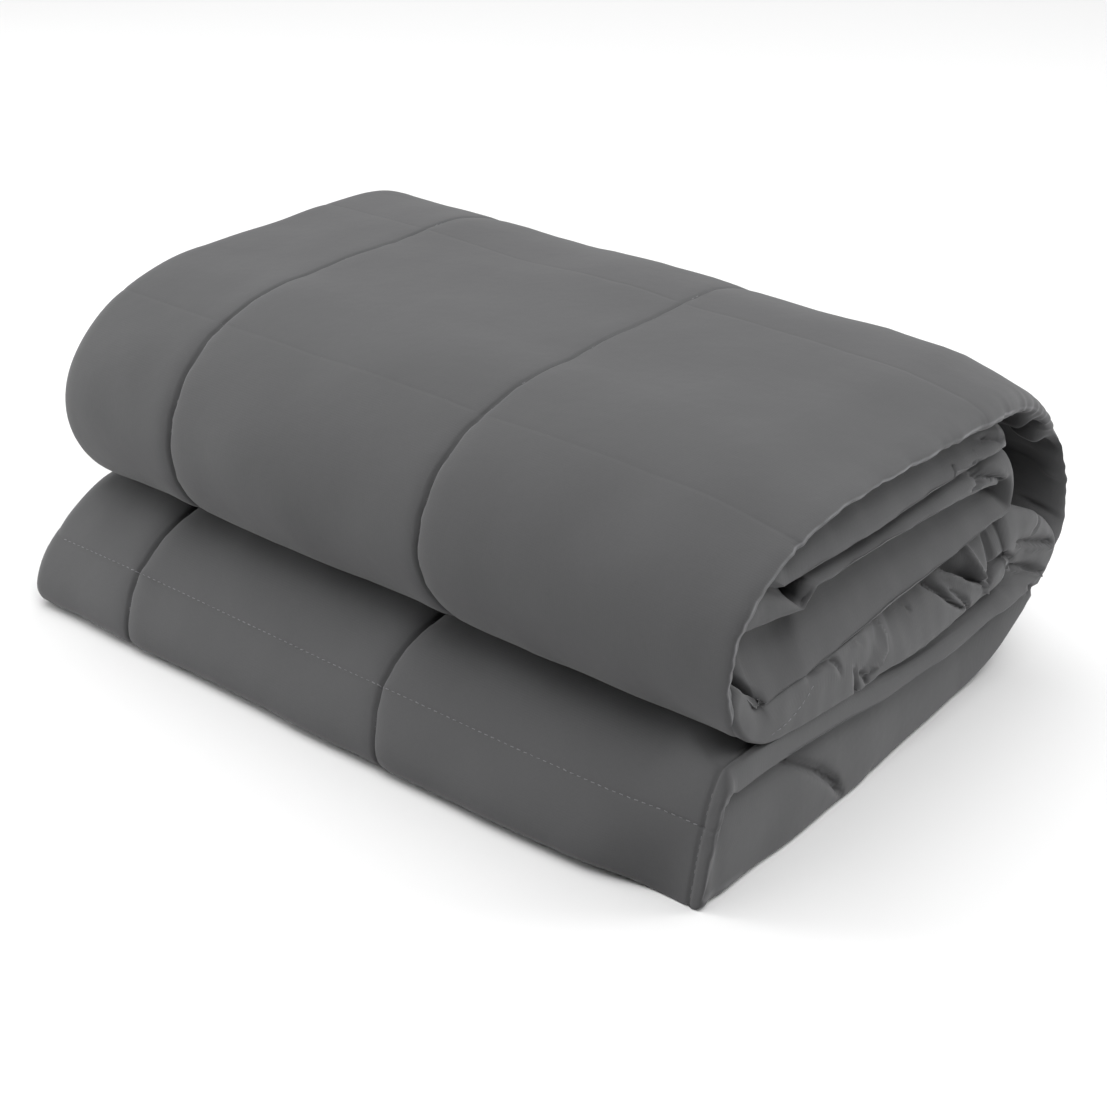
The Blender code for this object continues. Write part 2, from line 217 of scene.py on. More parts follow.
# Bands over which that grows: where each starts, and how wide it is.
TOP_BAND = (100.0, 48.0)              # upwards, the top's drop
NOSE_Y = (40.0, 54.0)                 # forwards, the lower front's nose
NOSE_Z = (60.0, 30.0)                 # and downwards
REAR_Y = (190.0, 72.0)                # backwards, the back wrap
UPPER_Z = (50.0, 60.0)                # upwards, from the low part of the back to the high part

# Stretches along the folds: where something starts, is full, begins to fade, and ends.
QUILTED = (0.6, 0.9, 6.8, 7.2)        # the relief of the quilting
UNEVEN_CUT = (0.6, 1.0, 3.3, 3.9)     # the uneven edge of the cover's hem
COVER_HIGHLIGHT = (0.8, 1.2, 3.0, 3.3)     # the painted highlight along it
HEM_LINE = (4.75, 4.95, 7.2, 8.0)     # the sewn line of the lower bundle's hem
BUMPY_HEM = (4.9, 5.0, 5.8, 5.9)      # the bumps on that hem's fold

# Uneven fields: height in millimetres, how many waves they add up, the waves' length, and seed.
Uneven = namedtuple("Uneven", "height waves length seed")
BILLOWS = Uneven(0.55, 9, 95.0, 11)   # the soft rise and fall of a filled cloth
DIMPLES = Uneven(0.22, 9, 32.0, 12)
CHANNEL_STRAY = Uneven(0.35, 7, 9.0, 21)
SEAM_STRAY = Uneven(0.25, 7, 11.0, 22)
PUCKERS = Uneven(0.25, 11, 16.0, 31)  # small ones over the inner plies' ends
EDGE_CUT = Uneven(0.45, 7, 10.0, 41)
EDGE_HIGHLIGHT = Uneven(0.5, 9, 6.0, 42)   # as a share of the full painted highlight
EDGE_BUMPS = Uneven(0.3, 7, 9.0, 43)

# A quilting line's cut: share of its depth and half width, for the pillow edges and the sewn line.
CHANNEL_CUT = ((0.5, 9.0), (0.8, 1.4))
SEAM_CUT = ((0.45, 11.0), (0.3, 1.2))
HEM_DIP = 0.9             # depth and half width of the hem's sewn line
HEM_DIP_HALF = 2.0
BUMPS_REACH = (1.0, 5.0)  # how far from the tip the hem's bumps are full, and how far they reach
PUCKERS_REACH = (8.0, 22.0)           # and the puckers, in from the end
PUCKERED_FROM = 7.8       # the first fold with puckers
HIGHLIGHT_REACH = (0.1, 0.9)   # and the painted highlight, from the tip
HIGHLIGHT_MEAN = 0.7           # share of the full painted highlight on a hem, before it is made uneven
LOWER_HIGHLIGHT = 0.5          # painted highlight on the lower bundle's hem, as a share of the cover's
LOWER_HIGHLIGHT_FOLDS = (5.3, 0.45)  # the middle and half of the stretch of folds where it is

# Wrinkles laid on the open right end. A row gives the folds that it lies on, its run of
# points with the half width at each (y, z, half) on the end plane, its depth, how far in from the
# end it fades out, and its kind. A valley sinks evenly on both sides of the run, or rises where
# its depth is below 0. A groove has a round bottom. A pleat slopes down to the run on its left
# side, and steps up there to a narrow ridge. A flap rises to the run on its left side, and drops
# there.
Crease = namedtuple("Crease", "folds points depth reach kind")
RIGHT_CREASES = [Crease(*row) for row in (
    # the quilting line that runs on over the floor ply's end, and the pillows beside it
    ((3.8, 5.3),
     ((48, 41, 1.6), (56, 35, 2.4), (67, 27, 2.6), (75, 21, 2.6), (84, 12, 2.4), (90, 3, 1.4)),
     3.2, 26, "groove"),
    ((3.8, 5.3), ((48, 41, 6), (56, 35, 8), (75, 21, 9), (83, 13, 5), (87, 8, 2)),
     1.7, 30, "valley"),
    ((3.9, 4.9), ((202, 32, 1.4), (214, 22, 2.6)), 3.6, 14, "valley"),
    # between the middle ply's front and the lower ply's nose
    ((11.6, 12.6), ((17.5, 88, 1.4), (23.5, 81, 3.0), (29, 75, 3.2), (33.5, 68.5, 1.6)),
     5.0, 14, "valley"),
    # chins along the middle ply's lower edge
    ((9.5, 12.6), ((61, 68, 1), (70, 69.5, 1.6), (78, 68.5, 2), (82, 63, 1)), 3.2, 12, "valley"),
    ((9.5, 12.6), ((88, 69, 1), (95, 70, 1.4), (100, 66, 1)), 1.6, 10, "valley"),
    ((9.0, 13.8), ((115, 72, 1), (124, 74, 2.4), (131, 73, 1.4)), 3.0, 12, "valley"),
    ((9.0, 13.8), ((132, 72, 1.6), (141, 63, 1)), 2.6, 12, "valley"),
    ((9.0, 14.4), ((186, 81, 1), (196, 82, 2.4), (206, 80, 1)), 3.4, 12, "valley"),
    # cheeks and flap of the lower ply
    ((9.5, 11.3), ((94, 48, 2.0), (93, 53, 1.6), (91, 61, 0.6)), 3.8, 10, "valley"),
    ((9.5, 11.3), ((101, 50, 1.8), (98, 54, 1.4), (94, 58, 0.6)), 3.4, 10, "valley"),
    ((9.2, 11.0), ((101, 54, 3), (108, 54, 8), (114, 57, 10), (117, 62, 9), (114, 69, 3)),
     -3.0, 18, "flap"),
    # the two sharp folds of the lower ply, each a dark slope under a ridge
    ((8.9, 10.4), ((155, 77, 2), (174, 68, 11), (183, 62, 9), (191, 56, 3)), 9.0, 24, "pleat"),
    ((8.9, 10.4), ((181, 81, 2), (188, 69, 3), (193, 58, 3), (196, 50, 1.4)), -2.6, 16, "valley"),
    ((8.9, 10.4), ((199, 75, 1.4), (200, 62, 4), (197, 53, 1.4)), 3.0, 16, "valley"),
    ((8.9, 10.4), ((179, 62, 1), (192, 55, 1.6)), 2.6, 12, "valley"),
    ((8.9, 10.4), ((147, 77, 1.4), (156, 69, 4), (163, 63, 3), (169, 56, 1.8), (177, 50, 1)),
     5.6, 18, "valley"),
    ((8.9, 10.4), ((170, 61, 1), (178, 54, 2.2), (184, 45, 1)), 3.0, 14, "valley"),
    # crumples at the back of the low turn
    ((7.6, 9.6), ((193, 55, 1.4), (202, 60, 3.4), (210, 62, 2.4), (221, 55, 1)),
     5.0, 14, "valley"),
    ((7.6, 9.4), ((219, 64, 2), (234, 58, 6), (250, 52, 5)), 4.6, 18, "pleat"),
    ((7.6, 9.4), ((219, 52, 1.4), (231, 47, 5), (243, 41, 3)), 3.6, 16, "pleat"),
    ((7.6, 9.4), ((232, 64, 1), (239, 69, 1.4)), 2.6, 14, "valley"),
    ((3.4, 8.8), ((232, 39, 1.4), (248, 29, 3)), 3.6, 14, "valley"),
    # the top inner ply's end, where it is tucked in at the back
    ((14.2, 21.0), ((179, 115, 1), (188, 107, 4.6), (203, 98, 1.4)), 5.6, 16, "valley"),
    ((14.2, 21.0), ((164, 113, 1.2), (177, 112, 2.4), (185, 106, 3), (178, 103, 1.2)),
     4.6, 14, "valley"),
    ((19.5, 21.0), ((190, 121, 1.4), (200, 118, 2.4)), 3.0, 14, "valley"),
    # the inner nose: its wrinkle, its curl and its pinch
    ((17.5, 20.3), ((30, 130, 1.6), (40, 120, 1)), 2.8, 14, "valley"),
    ((16.5, 20.3), ((23, 122, 1.4), (33, 114, 2.4), (29, 111, 1)), 3.0, 12, "valley"),
    ((15.4, 17.2), ((56, 110, 3), (60, 100, 1.4)), 3.0, 12, "valley"),
    # the ledge: a nick, and the gap where its hem turns down at the corner
    ((5.8, 6.9), ((20.5, 55.5, 2), (25.5, 51.5, 1.2)), 3.0, 9, "valley"),
    ((4.7, 6.0), ((14, 41, 1.4), (10.5, 37, 2.4), (8.5, 31, 1.6)), 3.4, 7, "valley"),
    ((4.7, 5.9), ((9, 33, 3), (5.5, 10, 4), (3, 0, 3)), 0.8, 7, "valley"),
)]
CREASE_FULL = 0.35        # how far in a crease is at its full depth, as a share of its reach
FLAP_DROP = 2.4           # width of the drop at a flap's step

# Gathers inside the back wrap, running in along X from its open edge: where they lie along the
# folds, half width and depth, how far in they are at their full depth, and how far in they fade
# out. A gather below 0 deep is a ridge, and the wide one is the hollow between the wrap and the
# plies.
Gather = namedtuple("Gather", "fold half depth full reach")
WRAP_GATHERS = [Gather(*row) for row in (
    (3.13,  7.0,  5.0,  7.0, 30.0),
    (3.20,  9.0,  -7.0, 7.0, 36.0),
    (3.27,  6.0,  6.0,  7.0, 34.0),
    (3.33,  8.0,  -6.0, 7.0, 30.0),
    (3.40,  8.0,  3.0,  7.0, 34.0),
    (3.47,  60.0, 8.0,  20.0, 75.0),
    (3.48,  4.0,  -2.0, 7.0, 14.0),
    (3.57,  4.0,  3.0,  7.0, 20.0),
)]
GATHER_FULL = 0.4         # where a gather begins to fade, as a share of its reach


def column(rows, name, key, at):
    """A table's column, read at any place between its rows."""
    return np.interp(at, [getattr(r, key) for r in rows], [getattr(r, name) for r in rows])


def smooth(value, low, high):
    """0 below low and 1 above high, and between them 3t^2 - 2t^3 of the share t of the way."""
    part = np.clip((value - low) / (high - low), 0, 1)
    return part * part * (3 - 2 * part)


def stretch(value, start, full, fading, end):
    """1 from full to fading, 0 before start and after end, and smooth between."""
    return smooth(value, start, full) * (1 - smooth(value, fading, end))


def rumple(kind, u, v=0.0):
    """A calm uneven field of about the given height: the sum of sine waves in random directions,
    whose wave lengths lie round the given one, over the root of their number."""
    rng = np.random.default_rng(kind.seed)
    field = np.zeros(np.broadcast(u, v).shape)
    for _ in range(kind.waves):
        heading, phase = rng.uniform(0, 2 * np.pi, 2)
        wave = 2 * np.pi / (kind.length * rng.uniform(0.6, 1.7))
        field += np.sin(wave * (u * np.cos(heading) + v * np.sin(heading)) + phase)
    return kind.height * (field / math.sqrt(kind.waves))


def section(rows, folds, side):
    """Points (y, z) of one skin at positions along the folds, where 2.5 is half way along row 2.

    A ply is the straight line between two rows plus the cubic 3p(1-p)(a(1-p)+bp) in Z. A turn is
    half an ellipse: (1-cos t)/2 along its chord and (a+(b-a)p) sin t out of it in Y."""
    row = np.minimum(folds.astype(int), LAST_FOLD - 1)
    part = folds - row
    starts = np.array([getattr(line, side) for line in rows])
    bows = np.array([getattr(line, side + "_bow") for line in rows])
    turning = np.array([line.kind == "turn" for line in rows])[row]
    angle = part * np.pi
    along = np.where(turning, (1 - np.cos(angle)) / 2, part)
    points = starts[row] + (starts[row + 1] - starts[row]) * along[:, None]
    first, last = bows[row].T
    reach = (first + (last - first) * part) * np.sin(angle)
    rise = 3 * part * (1 - part) * (first * (1 - part) + last * part)
    points[:, 0] += np.where(turning, reach, 0)
    points[:, 1] += np.where(turning, 0, rise)
    return points


def arc_length(points):
    """Length along a run of points, from the first to each one."""
    steps = np.linalg.norm(np.diff(points, axis=0), axis=1)
    return np.concatenate(([0.0], np.cumsum(steps)))


# Length of cloth along the outer skin at fine positions along the folds.
FINE_FOLDS = np.linspace(0, LAST_FOLD, 8000)
FINE_LENGTH = arc_length(section(MIDDLE, FINE_FOLDS, "outer"))


def cloth_length(folds):
    """Length along the cloth at positions along the folds."""
    return np.interp(folds, FINE_FOLDS, FINE_LENGTH)


def right_edge(folds):
    """X of the open end's tip: its table, and along the cover's hem an uneven cut as well."""
    uneven = rumple(EDGE_CUT, cloth_length(folds)) * stretch(folds, *UNEVEN_CUT)
    return column(ENDS, "right", "fold", folds) + uneven


SEAM_LENGTHS = cloth_length([seam.fold for seam in SEAMS])
ROW_PITCH = 3.3           # between mesh rows
FINE_PITCH = 1.4          # and on the crumpled folds
CRUMPLED = ((3.1, 3.6), (4.45, 4.76), (8.0, 11.0), (11.5, 11.9))
SEAM_STEPS = (-5.0, -3.0, -1.6, -0.7, 0.0, 0.7, 1.6, 3.0, 5.0)
SEAM_ROOM = 6.2           # even rows that lie nearer to a seam than this are left out
STITCHED = (1.0, 6.8)     # the folds that the channels' stitches run over
RUN_SAMPLES = 60          # places at which a stretch between two marks is measured
SHORT_OF_MARK = 0.0001    # so that its last place isn't on the next row


def fold_positions():
    """Positions of the mesh rows: even steps of about the row pitch along whichever skin is longer
    at either section, and close rows on both sides of each cross seam."""
    rows = []
    marks = np.unique([*range(LAST_FOLD + 1), *np.ravel(CRUMPLED)])
    for start, stop in zip(marks[:-1], marks[1:]):
        part = np.linspace(start, stop - SHORT_OF_MARK, RUN_SAMPLES)
        run = max(arc_length(section(table, part, side))[-1]
                  for table in (MIDDLE, OPEN_END) for side in ("outer", "inner"))
        fine = any(low <= start and stop <= high for low, high in CRUMPLED)
        steps = max(2, math.ceil(run / (FINE_PITCH if fine else ROW_PITCH)))
        rows.extend(start + (stop - start) * np.arange(steps) / steps)
    rows = np.array(rows)
    close = (SEAM_LENGTHS[:, None] + np.array(SEAM_STEPS)).ravel()
    crowded = np.abs(cloth_length(rows)[:, None] - SEAM_LENGTHS).min(axis=1) < SEAM_ROOM
    crowded &= rows < STITCHED[1]
    rows = np.concatenate((rows[~crowded], np.interp(close, FINE_LENGTH, FINE_FOLDS), [LAST_FOLD]))
    return np.unique(rows)


# Columns along X. Near an end they follow the angle round its closing curve, and then steps
# inwards. Near a channel they are offsets from it. Between those they are even shares of the way.
RIGHT_ANGLES = np.radians((0.0, 4, 8, 12.5, 17, 21.5, 26, 31, 36,
                           41, 46.5, 52, 58, 64, 70, 76.5, 83, 90))
RIGHT_STEPS = (0.9, 1.9, 3.0, 4.3, 5.8, 7.6, 9.8, 12.4, 15.5, 19.5, 25.0, 32.0)
LEFT_ANGLES = np.radians((0.0, 12, 26, 40, 55, 72, 90))
LEFT_STEPS = (2.0, 4.5, 8.0, 12.5, 18.0, 25.0)
CHANNEL_STEPS = (-10.0, -6.5, -4.2, -2.6, -1.5, -0.7, 0.0, 0.7, 1.5, 2.6, 4.2, 6.5, 10.0)
BETWEEN = (4, 13, 10)     # columns between the left end, the two channels and the right end


def along_x(folds):
    """X of every column on every row, and the numbers of the two channel columns."""
    curves = []
    for radius, angles, steps in ((LEFT_ROUND, LEFT_ANGLES, LEFT_STEPS),
                                  (HEM_WIDTH, RIGHT_ANGLES, RIGHT_STEPS)):
        curve = radius * (1 - np.cos(angles))
        curves.append(np.concatenate((curve, radius + np.array(steps))))
    left = column(ENDS, "left", "fold", folds)[:, None] + curves[0]
    right = (right_edge(folds)[:, None] - curves[1])[:, ::-1]
    by_channel = [column(CHANNELS, side, "fold", folds)[:, None] + np.array(CHANNEL_STEPS)
                  for side in ("left", "right")]
    blocks = [left]
    for block, count in zip(by_channel + [right], BETWEEN):
        share = (np.arange(count) + 1) / (count + 1)
        blocks.append(blocks[-1][:, -1:] * (1 - share) + block[:, :1] * share)
        blocks.append(block)
    # Blocks 2 and 4 are the channels', and their stitches lie on the middle column.
    middle = len(CHANNEL_STEPS) // 2
    starts = np.cumsum([0] + [block.shape[1] for block in blocks])
    return np.concatenate(blocks, axis=1), (starts[2] + middle, starts[4] + middle)


def settle(x, points):
    """Lets the stack's top down at its right end, and draws its lower front and back in or out."""
    y, z = points[..., 0], points[..., 1]
    high = np.clip((z - TOP_BAND[0]) / TOP_BAND[1], 0, 1)
    nose = np.clip((NOSE_Y[0] - y) / NOSE_Y[1], 0, 1) * np.clip((NOSE_Z[0] - z) / NOSE_Z[1], 0, 1)
    rear = np.clip((y - REAR_Y[0]) / REAR_Y[1], 0, 1)
    z = z - column(SETTLE, "top_drop", "x", x) * high
    upper = np.clip((z - UPPER_Z[0]) / UPPER_Z[1], 0, 1)
    high_out = column(SETTLE, "high_back_out", "x", x) * upper
    low_out = column(SETTLE, "low_back_out", "x", x) * (1 - upper)
    y = y + column(SETTLE, "nose_back", "x", x) * nose + (high_out + low_out) * rear
    return np.stack((y, z), axis=-1)


def closing(to_end, length, square):
    """How far a skin stands off from the tip's line at a distance from the end: the superellipse
    (1 - (1 - d/R)^n)^(1/n), which is 0 on the end and 1 from R inwards."""
    left = np.clip(1 - to_end / length, 0, 1)
    return (1 - left ** square) ** (1 / square)


def tube(folds, x):
    """The smooth padded ribbon: rows along the folds, and a ring of columns across the outer skin
    and back across the inner one. Each skin is the middle section, settled, and from X = 142 to
    184 it turns into the open end's own section. Towards an end both skins curve to the tip
    between them."""
    own = (smooth(folds, *END_FOLDS)[:, None] * smooth(x, *END_REACH))[..., None]
    skins = []
    for side in ("outer", "inner"):
        middle = settle(x, np.repeat(section(MIDDLE, folds, side)[:, None], x.shape[1], axis=1))
        end = section(OPEN_END, folds, side)[:, None]
        skins.append(middle * (1 - own) + end * own)
    outer, inner = skins
    across = inner - outer
    at = {name: column(ENDS, name, "fold", folds)[:, None] for name in End._fields[1:]}
    right = x > 0
    to_end = np.where(right, right_edge(folds)[:, None] - x, x - at["left"])
    edge = np.where(right, at["edge"], LEFT_EDGE)[..., None]
    square = np.where(right, at["square"], LEFT_SQUARE)
    outer_off, inner_off = (
        closing(to_end, np.where(right, at[name], LEFT_ROUND), square)[..., None]
        for name in ("outer_round", "inner_round"))
    outer = outer + across * edge * (1 - outer_off)
    inner = inner - across * (1 - edge) * (1 - inner_off)
    x = x[..., None]
    outer = np.concatenate((x, outer), axis=2)
    inner = np.concatenate((x, inner), axis=2)
    return np.concatenate((outer, inner[:, -2:0:-1]), axis=1)


def outwards(points):
    """Unit normals of the tube: the cross product of its steps down the rows and round the ring."""
    down = np.gradient(points, axis=0)
    around = np.roll(points, -1, axis=1) - np.roll(points, 1, axis=1)
    normal = np.cross(down, around)
    length = np.linalg.norm(normal, axis=2)[..., None]
    return -normal / np.maximum(length, 1e-9)


def from_tip(points, columns):
    """Distance of each point from the open end's tip on its row."""
    return np.linalg.norm(points - points[:, columns - 1:columns], axis=2)


def valley(distance, half):
    """(1-g/w)^2 at distance g from the middle of a seam, and 0 from its half width w outwards."""
    return np.clip(1 - np.abs(distance) / half, 0, 1) ** 2


def from_run(y, z, points):
    """From each place to the nearest piece of a run of points in the Y-Z plane: the distance, the
    side (1 on the left of the way that it runs, and -1 on the right), and the half width there."""
    nearest = np.full(y.shape, np.inf)
    side = np.ones(y.shape)
    half = np.ones(y.shape)
    for (ay, az, wide), (by, bz, next_wide) in zip(points[:-1], points[1:]):
        span = (by - ay) ** 2 + (bz - az) ** 2
        t = np.clip(((y - ay) * (by - ay) + (z - az) * (bz - az)) / span, 0, 1)
        gap = np.hypot(y - ay - t * (by - ay), z - az - t * (bz - az))
        turn = np.sign((by - ay) * (z - az) - (bz - az) * (y - ay))
        side = np.where(gap < nearest, turn, side)
        half = np.where(gap < nearest, wide + (next_wide - wide) * t, half)
        nearest = np.minimum(nearest, gap)
    return nearest, side, half


def wrinkles(points, folds, to_end):
    """Depth of the listed wrinkles. A valley is d(1-g/w)^1.5 at distance g from its run, and
    a groove has a round bottom instead. A pleat is a valley on its left side, and on its right
    side a ridge a quarter as wide and a third as high. A flap is a valley that ends in a step
    there."""
    y, z = points[..., 1], points[..., 2]
    depth = np.zeros(y.shape)
    for crease in RIGHT_CREASES:
        rows = (folds >= crease.folds[0]) & (folds <= crease.folds[1])
        gap, side, half = from_run(y[rows], z[rows], crease.points)
        cut = np.clip(1 - gap / half, 0, 1) ** 1.5
        if crease.kind == "groove":
            cut = smooth(gap / half, 1.0, 0.0)
        if crease.kind == "flap":
            cut = np.where(side > 0, cut, -smooth(gap, FLAP_DROP, 0.0))
        if crease.kind == "pleat":
            step = np.clip(1 - 4 * gap / half, 0, 1) - valley(gap - half / 4, half / 2) / 3
            cut = np.where(side > 0, cut, step)
        near = 1 - smooth(to_end[rows], CREASE_FULL * crease.reach, crease.reach)
        depth[rows] += crease.depth * cut * near
    return depth


def gathers(s, to_end):
    """Depth of the back wrap's gathers at a length along the cloth, each d(1-g/w)^2 across it."""
    depth = np.zeros(to_end.shape)
    for gather in WRAP_GATHERS:
        near = stretch(to_end, 0, gather.full, GATHER_FULL * gather.reach, gather.reach)
        depth += gather.depth * valley(s - cloth_length(gather.fold), gather.half) * near
    return depth


def quilting(s, x, folds):
    """Depth of the channels and cross seams on the outer skin: a soft pillow edge on both sides,
    and a narrow sewn line in the middle that strays a little."""
    deep = column(CHANNELS, "depth", "fold", folds)[:, None]
    lines = [(x - column(CHANNELS, side, "fold", folds)[:, None] - rumple(CHANNEL_STRAY, s), deep,
              CHANNEL_CUT) for side in ("left", "right")]
    lines += [(s - at - rumple(SEAM_STRAY, x), seam.dip, SEAM_CUT)
              for seam, at in zip(SEAMS, SEAM_LENGTHS)]
    cut = np.zeros(x.shape)
    for gap, depth, shares in lines:
        cut = np.maximum(cut, depth * sum(share * valley(gap, half) for share, half in shares))
    return cut * stretch(folds, *QUILTED)[:, None]


def relief(points, folds, columns, length):
    """How far each point of the tube moves along its normal, in millimetres: the sum of the uneven
    fields, less the depth of the quilting, the hem's line, the wrinkles and the gathers."""
    x, y, z = np.moveaxis(points, -1, 0)
    s = length[:, None]
    outer = np.zeros(x.shape, dtype=bool)
    outer[:, :columns] = True
    to_end = right_edge(folds)[:, None] - x
    out = rumple(BILLOWS, s, x) + rumple(DIMPLES, s, x)
    out -= quilting(s, x, folds) * outer
    hem = HEM_DIP * valley(to_end - HEM_WIDTH, HEM_DIP_HALF)
    out -= hem * stretch(folds, *HEM_LINE)[:, None] * outer
    bumps = rumple(EDGE_BUMPS, s) * (1 - smooth(from_tip(points, columns), *BUMPS_REACH))
    out += bumps * stretch(folds, *BUMPY_HEM)[:, None]
    out -= wrinkles(points, folds, to_end)
    out -= gathers(s, to_end) * ~outer
    puckers = rumple(PUCKERS, y, z) * (1 - smooth(to_end, *PUCKERS_REACH))
    out += puckers * (folds > PUCKERED_FROM)[:, None]
    return out


def tube_mesh(name, points, columns, uv, hem_highlight):
    """A closed mesh of the tube: quads round the ring on every row, and caps across the two last
    rows. The UV map unrolls the cloth in metres, and starts again where the ring closes. The
    attribute holds the painted highlight along the hems' folds."""
    rows, ring = points.shape[:2]
    index = np.arange(rows * ring).reshape(rows, ring)
    after = np.roll(index, -1, axis=1)
    sides = np.stack((index[:-1], after[:-1], after[1:], index[1:]), axis=-1)
    under = np.concatenate(([0], np.arange(ring - 1, columns - 1, -1), [columns - 1]))
    faces = [sides.reshape(-1, 4)]
    for row, step in ((0, 1), (-1, -1)):
        top, bottom = index[row, :columns], index[row, under]
        cap = np.stack((top[:-1], bottom[:-1], bottom[1:], top[1:]), axis=-1)
        faces.append(cap[:, ::step])
    mesh = bpy.data.meshes.new(name)
    # At its two ends a cap narrows to a triangle, whose doubled corner is left out.
    faces = [list(dict.fromkeys(face)) for face in np.concatenate(faces).tolist()]
    mesh.from_pydata((points.reshape(-1, 3) * MM).tolist(), [], faces)
    wide = np.concatenate((uv, uv[:, -1:] + (uv[:, -1:] - uv[:, -2:-1])), axis=1)
    corner = np.arange(rows * (ring + 1)).reshape(rows, ring + 1)
    flat = np.stack((corner[:-1, :-1], corner[:-1, 1:], corner[1:, 1:], corner[1:, :-1]), axis=-1)
    side_uv = wide.reshape(-1, 2)[flat.reshape(-1)]
    loops = np.zeros(len(mesh.loops), dtype=int)
    mesh.loops.foreach_get("vertex_index", loops)
    rest = uv.reshape(-1, 2)[loops[len(side_uv):]]
    layer = mesh.uv_layers.new(name="cloth")
    layer.data.foreach_set("uv", np.concatenate((side_uv, rest)).ravel())
    # the painted highlight along the hems' folds, kept as a point attribute
    mesh.attributes.new("painted_hem_highlight", "FLOAT", "POINT").data.foreach_set("value", hem_highlight.ravel())
    mesh.shade_smooth()
    return mesh


def dress(mesh, material):
    """A piece made of a mesh, with its material, riding on the one body."""
    piece = bpy.data.objects.new(mesh.name, mesh)
    bpy.context.scene.collection.objects.link(piece)
    mesh.materials.append(material)
    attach(piece, "root")
    return piece


# ---------------------------------------------------------------- stitches


STITCH_PITCH = 3.3
LINE_MARGIN = 2.0         # from the ends of a quilting line to its first and last stitch
HEM_MARGIN = 1.0          # and for a hem
TANGENT_REACH = 0.8       # a stitch's way is measured over this much on both sides
CLEAR_OF_FLOOR = 1.0      # stitches lower than this are under the stack
STITCH_SIDES = 5
# Place along the tangent, radius, and height over the cloth of a stitch's rings.
STITCH_RINGS = ((-1.2, 0.08, -0.30), (-0.7, 0.24, -0.04), (0.7, 0.24, -0.04), (1.2, 0.08, -0.30))
STITCH_SEED = 5
STITCH_LEAN = 0.2         # the most that one leans to a side, as a share of its length
STITCH_SINK = 0.2         # and the most that one sinks in


def read_run(at, length, values):
    """Values along a run of points, read at any length along it."""
    return np.stack([np.interp(at, length, run) for run in values.T], axis=1)


def resample(points, normals, margin):
    """Stitch places along a run of points, with tangent and normal at each. Those under the stack
    are left out."""
    length = arc_length(points)
    at = np.arange(margin, length[-1] - margin, STITCH_PITCH)
    place = read_run(at, length, points)
    normal = read_run(at, length, normals)
    tangent = read_run(at + TANGENT_REACH, length, points)
    tangent -= read_run(at - TANGENT_REACH, length, points)
    tangent /= np.linalg.norm(tangent, axis=1)[:, None]
    normal -= tangent * np.sum(tangent * normal, axis=1)[:, None]
    normal /= np.linalg.norm(normal, axis=1)[:, None]
    over = place[:, 2] > CLEAR_OF_FLOOR
    return place[over], tangent[over], normal[over]


def stitches(name, runs, material):
    """One mesh of many stitches. Each is a short thread arched over the cloth: four rings round
    its way, and closed ends. Each leans and sinks in by a chance amount."""
    place, tangent, normal = (np.concatenate(parts) for parts in zip(*runs))
    rng = np.random.default_rng(STITCH_SEED)
    side = np.cross(normal, tangent)
    lean = rng.uniform(-STITCH_LEAN, STITCH_LEAN, (len(place), 1))
    tangent = tangent + side * lean
    place = place - normal * rng.uniform(0.0, STITCH_SINK, (len(place), 1))
    angle = np.arange(STITCH_SIDES) * 2 * np.pi / STITCH_SIDES
    rings = []
    for along, radius, height in STITCH_RINGS:
        centre = place + tangent * along + normal * height
        circle = normal[:, None] * np.cos(angle)[:, None] + side[:, None] * np.sin(angle)[:, None]
        rings.append(centre[:, None] + circle * radius)
    points = np.stack(rings, axis=1)
    per = len(STITCH_RINGS) * STITCH_SIDES
    around = np.arange(per).reshape(len(STITCH_RINGS), STITCH_SIDES)
    turned = np.roll(around, -1, axis=1)
    walls = np.stack((around[:-1], turned[:-1], turned[1:], around[1:]), axis=-1).reshape(-1, 4)
    first = np.arange(len(place))[:, None, None] * per
    quads = (walls[None] + first).reshape(-1, 4).tolist()
    ends = np.stack((around[0][::-1], around[-1]))
    ends = (ends[None] + first).reshape(-1, STITCH_SIDES).tolist()
    mesh = bpy.data.meshes.new(name)
    mesh.from_pydata((points.reshape(-1, 3) * MM).tolist(), [], quads + ends)
    mesh.shade_smooth()
    dress(mesh, material)


# Where the ledge's hem stitches run on up over the open end (y, z on the end plane), between which
# folds and beyond which X the cloth under them lies, and how near to the line counts as under it.
END_STITCHES = ((38, 55.0), (50, 57.0), (59, 60.5), (66, 65.5))
END_STITCH_FOLDS = (5.9, 11.6)
END_STITCH_X = 176
END_STITCH_GAP = 1.5
FAR_WEIGHT = 50           # what a place outside that gap loses in X for each millimetre
END_STITCH_STEP = 1.0
END_STITCH_LIFT = 0.06


def over_end(points, normals, folds):
    """The run of surface points under the stitch line on the end plane, and their normals: of all
    points near the right end, the outermost one within the gap of each place."""
    rows = (folds > END_STITCH_FOLDS[0]) & (folds < END_STITCH_FOLDS[1])
    near, turned = points[rows].reshape(-1, 3), normals[rows].reshape(-1, 3)
    end = near[:, 0] > END_STITCH_X
    near, turned = near[end], turned[end]
    line = np.array(END_STITCHES) - (DATUM_Y, 0)
    length = arc_length(line)
    place = read_run(np.arange(0, length[-1], END_STITCH_STEP), length, line)
    gap = np.linalg.norm(near[None, :, 1:] - place[:, None], axis=2)
    out = near[None, :, 0]
    chosen = np.where(gap < END_STITCH_GAP, out, out - FAR_WEIGHT * gap).argmax(axis=1)
    run = np.concatenate((near[chosen, :1], place), axis=1)
    return run + END_STITCH_LIFT * turned[chosen], turned[chosen]


# ---------------------------------------------------------------- finishes


